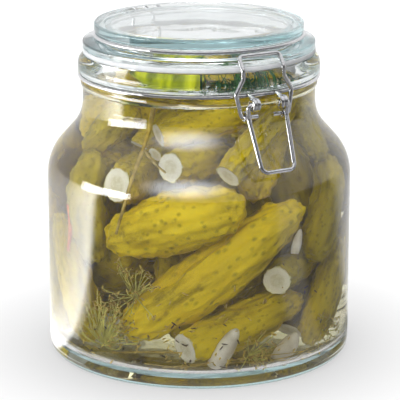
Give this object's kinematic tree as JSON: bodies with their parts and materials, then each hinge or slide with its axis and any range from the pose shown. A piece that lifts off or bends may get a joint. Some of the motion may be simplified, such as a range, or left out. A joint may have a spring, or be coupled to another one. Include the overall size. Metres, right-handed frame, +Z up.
{
  "type": "clip-top canning jar of pickled gherkins",
  "caption": "Clip-top glass canning jar with a hinged glass lid, gasket, wire neck ring, lever and clasp loop, filled with gherkins in brine under pepper strips.",
  "frame": {"origin": "centre of the jar's base, on the surface it stands on", "axes": "+Z up along the jar's axis, -Y towards the clasp, +Y towards the lid's hinge, +X to the right of someone who faces the clasp"},
  "size_m": [0.151, 0.1516, 0.1661],
  "materials": {
    "jar_glass": "clear gloss, faint teal tint in thick places",
    "gasket_silicone": "satin, translucent white",
    "clasp_wire": "bright drawn wire",
    "brine": "clear greyish liquid full of yellow-olive gherkins",
    "pepper_flesh": "wet, yellow-green"
  },
  "bodies": {
    "jar_body": {"jar": "jar_glass", "brine": "brine", "pepper_1": "pepper_flesh", "pepper_2": "pepper_flesh", "pepper_3": "pepper_flesh", "neck_wire": "clasp_wire"},
    "lid_body": {"lid": "jar_glass", "gasket": "gasket_silicone", "lid_wire": "clasp_wire"},
    "lever_body": {"lever": "clasp_wire"},
    "loop_body": {"clasp_loop": "clasp_wire"}
  },
  "joints": [
    {"name": "lid_hinge", "type": "hinge", "parent": "jar_body", "child": "lid_body", "pos_m": [0, 0.0631, 0.1481], "axis": [-1, 0, 0], "range_deg": [0, 110]},
    {"name": "lever_pivot", "type": "hinge", "parent": "jar_body", "child": "lever_body", "pos_m": [0, -0.0653, 0.137], "axis": [-1, 0, 0], "range_deg": [0, 110]},
    {"name": "loop_pivot", "type": "hinge", "parent": "lever_body", "child": "loop_body", "pos_m": [0, -0.0622, 0.1306], "axis": [1, 0, 0], "range_deg": [0, 145]}
  ],
  "couplings": [
    {"joint": "loop_pivot", "follows": "lever_pivot", "ratio": 1.318}
  ]
}
